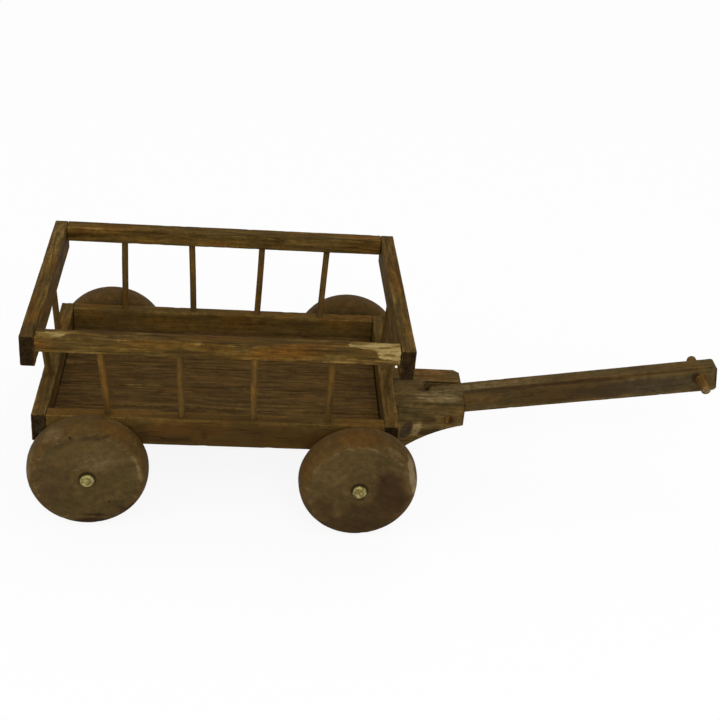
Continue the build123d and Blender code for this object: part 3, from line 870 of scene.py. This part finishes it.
def makeWheel(joint, values):
    node = joint["child"]
    way = -1 if node.endswith("right") else 1
    toWorld = alongX(Vector(joint["pos_m"]) / mm, Vector(joint["axis"]) * way)
    half = values["width"] / 2
    radius, bore = values["radius"], values["bore"]
    faceRun, faceDrop = values["faceReach"]
    backRun, backDrop = values["backReach"]
    shape = bmesh.new()
    front = rounded(
        shape, (half - faceRun, radius - faceDrop), values["faceReach"],
        0, values["faceSteps"],
    )
    back = rounded(
        shape, (backRun - half, radius - backDrop), values["backReach"],
        math.pi / 2, values["backSteps"],
    )
    joinCorners(shape, front)
    joinCorners(shape, back)
    tread = shape.edges.new((front[-1], back[0]))
    innerFront = shape.verts.new((half, 0, bore))
    innerBack = shape.verts.new((-half, 0, bore))
    faceLine = shape.edges.new((innerFront, front[0]))
    backLine = shape.edges.new((back[-1], innerBack))
    shape.edges.new((innerBack, innerFront))
    bmesh.ops.subdivide_edges(shape, edges=[faceLine], cuts=values["faceCuts"])
    bmesh.ops.subdivide_edges(shape, edges=[backLine], cuts=values["backCuts"])
    bmesh.ops.subdivide_edges(shape, edges=[tread], cuts=values["treadCuts"])
    spinRound(shape, values["turns"])
    shape.normal_update()
    seed = seedOf(node)
    marks = markValues.get(node, [])
    grainTurn = math.radians(values["grainTurn"][node.replace("wheel_", "")])
    rimFrom, rimTo = radius - faceDrop - values["nickReach"][0], radius - values["nickReach"][1]
    treadFrom, treadTo = (radius - reach for reach in values["treadReach"])
    masks = {key: [] for key in ("grain", "edge", "radius", "rim", *markKinds)}
    moved = []
    for vert in shape.verts:
        place = vert.co
        around = math.hypot(place.y, place.z)
        found = marksAt(marks, toWorld @ place, seed)
        nick = max(0, ridged(place, values["nickSize"], seed) - values["nickStart"])
        depth = values["unevenness"] * hollows(place, values["unevenSize"], seed)
        depth += values["roughness"] * hollows(place, values["roughSize"], seed)
        depth += nick * smoothStep(rimFrom, rimTo, around) * values["nickDepth"]
        if around < bore + slack:  # the bore's wall stays true
            depth = 0
        moved.append(place - vert.normal * depth)
        along = place.z * math.cos(grainTurn) + place.y * math.sin(grainTurn)
        across = place.y * math.cos(grainTurn) - place.z * math.sin(grainTurn)
        masks["grain"].append(Vector((along, across, place.x)) + seed)
        past = around - values["rimStart"]
        ring = (1 - smoothStep(*values["ringReach"], abs(past))) * values["ring"]
        masks["edge"].append(ring if place.x > 0 else 0)
        masks["rim"].append(smoothStep(*values["rimReach"], past))
        masks["radius"].append(around)
        # painted shade round the nail head
        soot = (1 - smoothStep(*values["sootReach"], around)) * values["soot"]
        # painted shade along the tread
        dirt = smoothStep(treadFrom, treadTo, around) * values["treadDirt"]
        found["stain"] = max(found["stain"], soot, dirt)
        for kind in markKinds:
            masks[kind].append(found[kind])
    setPlaces(shape, moved, toWorld)
    finishPiece(shape, node, woods["wheel"], masks)


wheelJoints = [joint for joint in frame["joints"] if joint["child"].startswith("wheel")]
for joint in wheelJoints:
    makeWheel(joint, wheelValues)
print("wheels made")


# Brass nails: a flat-topped head knocked about by the hammer, a shank and a point

nailValues = {
    "headRadius": 2.35, "headBack": 0.15, "headRim": 0.25, "headCrown": 1.05,
    "topRadius": 1.7, "topDome": 0.06, "topSteps": 6, "topCuts": 7,
    "shankRadius": 1.0, "pointLength": 2.5, "turns": 64,
    "dents": 0.16, "dentSize": 1.0, "dentSwing": 0.7, "dentLevel": 0.35, "dentReach": 0.4,
    "grimeReach": (2.0, 2.35), "grime": 0.5, "dentGrime": 2.2,
}


def makeNail(joint, values):
    node = joint["child"].replace("wheel", "nail")
    way = -1 if node.endswith("right") else 1
    centre, outward = Vector(joint["pos_m"]) / mm, Vector(joint["axis"]) * way
    toWorld = alongX(centre, outward)
    verts = frame["nodes"][node].data.vertices
    deepest = min((vert.co / mm - centre).dot(outward) for vert in verts)
    face = wheelValues["width"] / 2
    back = face + values["headBack"]
    rim = back + values["headRim"]
    crown = rim + values["headCrown"]
    shank = values["shankRadius"]
    shape = bmesh.new()
    over = rounded(
        shape, (rim, values["topRadius"]),
        (crown - rim - values["topDome"], values["headRadius"] - values["topRadius"]),
        0, values["topSteps"],
    )
    joinCorners(shape, over)
    middle = shape.verts.new((crown, 0, 0))
    top = shape.edges.new((middle, over[0]))
    joinCorners(shape, [
        over[-1], (back, values["headRadius"]), (back, shank),
        (deepest + values["pointLength"], shank), (deepest, 0),
    ])
    bmesh.ops.subdivide_edges(shape, edges=[top], cuts=values["topCuts"])
    spinRound(shape, values["turns"])
    shape.normal_update()
    seed = seedOf(node)
    masks = {"grain": [], "edge": []}
    moved = []
    for vert in shape.verts:
        place = vert.co
        around = math.hypot(place.y, place.z)
        onTop = smoothStep(rim, rim + values["dentReach"], place.x)
        dent = ridged(place, values["dentSize"], seed) * values["dentSwing"]
        dent = max(0, dent + values["dentLevel"]) * onTop * values["dents"]
        moved.append(place - Vector((1, 0, 0)) * dent)
        masks["grain"].append(place + seed)
        worn = smoothStep(*values["grimeReach"], around) * values["grime"]
        masks["edge"].append(max(1 - onTop, worn, dent * values["dentGrime"]))
    setPlaces(shape, moved, toWorld)
    finishPiece(shape, node, brass, masks)


for joint in wheelJoints:
    makeNail(joint, nailValues)
print("nails made")


# Round sticks: spindles, hitch pin and crossbar, cut by hand and a little crooked

roundValues = {
    "spindle": {
        "radius": 1.05, "turns": 20, "step": 0.9, "bend": 0.1, "facets": 0.07, "endRound": 0.1,
        "sideWarmth": 0, "endWarmth": 0, "endPale": 0,
    },
    "hitch_pin": {
        "radius": 1.45, "turns": 32, "step": 0.6, "bend": 0, "facets": 0.02, "endRound": 0.2,
        "sideWarmth": 0, "endWarmth": 1, "endPale": 0, "stainedSide": (-0.5, 0.3),
    },
    "crossbar": {
        "radius": 1.6, "turns": 32, "step": 0.45, "bend": 0.04, "facets": 0.08, "endRound": 0.5,
        "sideWarmth": 0.42, "endWarmth": 0, "endPale": 0.8, "middle": (-3.2, 2.2, 1.9),
    },
}
shoulder = ((0, 1), (0.35, 0.3), (1, 0))  # an end's rounding, along and inward, in endRounds
roundWear = {
    "facetSize": 1.4, "facetStretch": 4, "bowSizes": (0.9, 0.8), "warmthSize": 6,
    "endFacing": (0.7, 0.9), "endReach": 0.8, "tipShare": 0.6,
}


def makeRound(node, values, wearing=roundWear):
    verts = [vert.co / mm for vert in frame["nodes"][node].data.vertices]
    low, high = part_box(node)
    size = high - low
    axis = max(range(3), key=lambda place: size[place])
    middle = (low[axis] + high[axis]) / 2 / mm
    reach = size[axis] / 2 / mm
    ends = []
    for way in (-1, 1):
        least = reach * wearing["tipShare"]
        tip = [place for place in verts if (place[axis] - middle) * way > least]
        ends.append(sum(tip, Vector((0, 0, 0))) / len(tip))
    outward = (ends[1] - ends[0]).normalized()
    if node.startswith(("hitch", "crossbar")):  # these lie straight across the cart
        outward = Vector((0, 1, 0))
    centre = (ends[0] + ends[1]) / 2
    lengths = [(place - centre).dot(outward) for place in verts]
    nearEnd, farEnd = min(lengths), max(lengths)
    radius, end = values["radius"], values["endRound"]
    if abs(outward.z) < 0.5:  # lying sticks keep their upright, standing ones have none
        toWorld = alongX(centre, outward)
    else:
        turn = outward.to_track_quat("X", "Y").to_matrix().to_4x4()
        toWorld = Matrix.Translation(centre) @ turn
    shape = bmesh.new()
    corners = [(nearEnd, 0)]
    corners += [(nearEnd + end * along, radius - end * inward) for along, inward in shoulder]
    if "middle" in values:
        first, last, wide = values["middle"]
        corners += [(first, radius), (first, wide), (last, wide), (last, radius)]
    corners += [(farEnd - end * along, radius - end * inward) for along, inward in shoulder[::-1]]
    corners += [(farEnd, 0)]
    joinCorners(shape, corners)
    spinRound(shape, values["turns"])
    cutAcross(shape, 0, values["step"], nearEnd + end, farEnd - end)
    shape.normal_update()
    seed = seedOf(node)
    masks = {key: [] for key in ("grain", "endGrain", "edge", "rust", "stain", "pale")}
    moved = []
    for vert in shape.verts:
        place = vert.co
        share = (place.x - nearEnd) / (farEnd - nearEnd)
        free = math.sin(math.pi * min(1, max(0, share)))
        stretched = Vector((place.x / wearing["facetStretch"], place.y, place.z))
        depth = values["facets"] * hollows(stretched, wearing["facetSize"], seed)
        if math.hypot(place.y, place.z) > radius + slack:  # a thicker middle stays true
            depth = 0
        sideways, upward = wearing["bowSizes"]
        bow = Vector((
            0, ridged(Vector((share, 0, 0)), sideways, seed),
            ridged(Vector((share, 5, 0)), upward, seed),
        ))
        moved.append(place - vert.normal * depth + bow * free * values["bend"])
        masks["grain"].append(place + seed)
        endFace = smoothStep(*wearing["endFacing"], abs(vert.normal.x))
        masks["endGrain"].append(endFace)
        fromEnd = min(place.x - nearEnd, farEnd - place.x)
        masks["edge"].append(1 - smoothStep(0, wearing["endReach"], fromEnd))
        stained = values.get("stainedSide")
        side = smoothStep(*stained, -place.y) if stained else 0
        warmth = values["sideWarmth"] * (1 - endFace)
        warmth = max(warmth, values["endWarmth"] * endFace * (1 - side))
        masks["rust"].append(max(warmth, ridged(place, wearing["warmthSize"], seed)))
        masks["stain"].append(endFace * side)
        masks["pale"].append(endFace * values["endPale"])
    setPlaces(shape, moved, toWorld)
    finishPiece(shape, node, woods["dowel"], masks)


for node in sorted(frame["nodes"]):
    for kind, values in roundValues.items():
        if node.startswith(kind):
            makeRound(node, values)
print("round sticks made")


# Floor and light

studioValues = {
    "floorSize": 24.0,
    "floorColour": (0.94, 0.94, 0.935, 1),
    "floorRoughness": 0.9,
    "shownWhite": 0.9,
    "skyLevel": 0.66,
    "lamps": (  # name, place in metres, side in metres, watts
        ("keyLamp", (0.10, -0.90, 0.75), 0.6, 5.2),
        ("fillLamp", (-0.80, -0.50, 0.60), 0.8, 1.5),
        ("backLamp", (0.30, 0.80, 0.90), 0.7, 1.4),
    ),
}


def seenRays(tree):  # 1 for what the camera sees, straight or by a shine
    path = tree.nodes.new("ShaderNodeLightPath")
    names = ("Is Camera Ray", "Is Glossy Ray", "Is Transmission Ray")
    straight, glossy, through = (Wire(tree, path.outputs[name]) for name in names)
    return (straight + glossy + through).clamped()


def makeStudio(values):
    shape = bmesh.new()
    bmesh.ops.create_grid(shape, x_segments=2, y_segments=2, size=values["floorSize"] / 2)
    mesh = bpy.data.meshes.new("paleFloor")
    shape.to_mesh(mesh)
    shape.free()
    floor = bpy.data.objects.new("paleFloor", mesh)
    bpy.context.scene.collection.objects.link(floor)
    material, start, shader = startMaterial("paleFloor")
    shader.inputs["Base Color"].default_value = values["floorColour"]
    shader.inputs["Roughness"].default_value = values["floorRoughness"]
    shader.inputs["Specular IOR Level"].default_value = 0
    glow = start.node("Emission", None, {"Color": (1, 1, 1, 1), "Strength": 1.0})
    mixer = start.tree.nodes.new("ShaderNodeMixShader")
    joinUp(start.tree, seenRays(start.tree) * values["shownWhite"], mixer.inputs[0])
    start.tree.links.new(shader.outputs[0], mixer.inputs[1])
    start.tree.links.new(glow.socket, mixer.inputs[2])
    output = next(node for node in start.tree.nodes if node.type == "OUTPUT_MATERIAL")
    start.tree.links.new(mixer.outputs[0], output.inputs["Surface"])
    mesh.materials.append(material)

    world = bpy.data.worlds.new("studio")
    world.use_nodes = True
    bpy.context.scene.world = world
    background = world.node_tree.nodes["Background"]
    strength = values["skyLevel"] + seenRays(world.node_tree) * (1 - values["skyLevel"])
    joinUp(world.node_tree, strength, background.inputs["Strength"])
    background.inputs["Color"].default_value = (1, 1, 1, 1)

    aim = (Vector(cadBox[0]) + Vector(cadBox[1])) / 2
    for name, place, side, power in values["lamps"]:
        light = bpy.data.lights.new(name, "AREA")
        light.shape = "SQUARE"
        light.size = side
        light.energy = power
        lamp = bpy.data.objects.new(name, light)
        turn = (aim - Vector(place)).to_track_quat("-Z", "Y").to_matrix().to_4x4()
        lamp.matrix_world = Matrix.Translation(place) @ turn
        bpy.context.scene.collection.objects.link(lamp)


makeStudio(studioValues)
bpy.context.scene.view_settings.view_transform = "Standard"
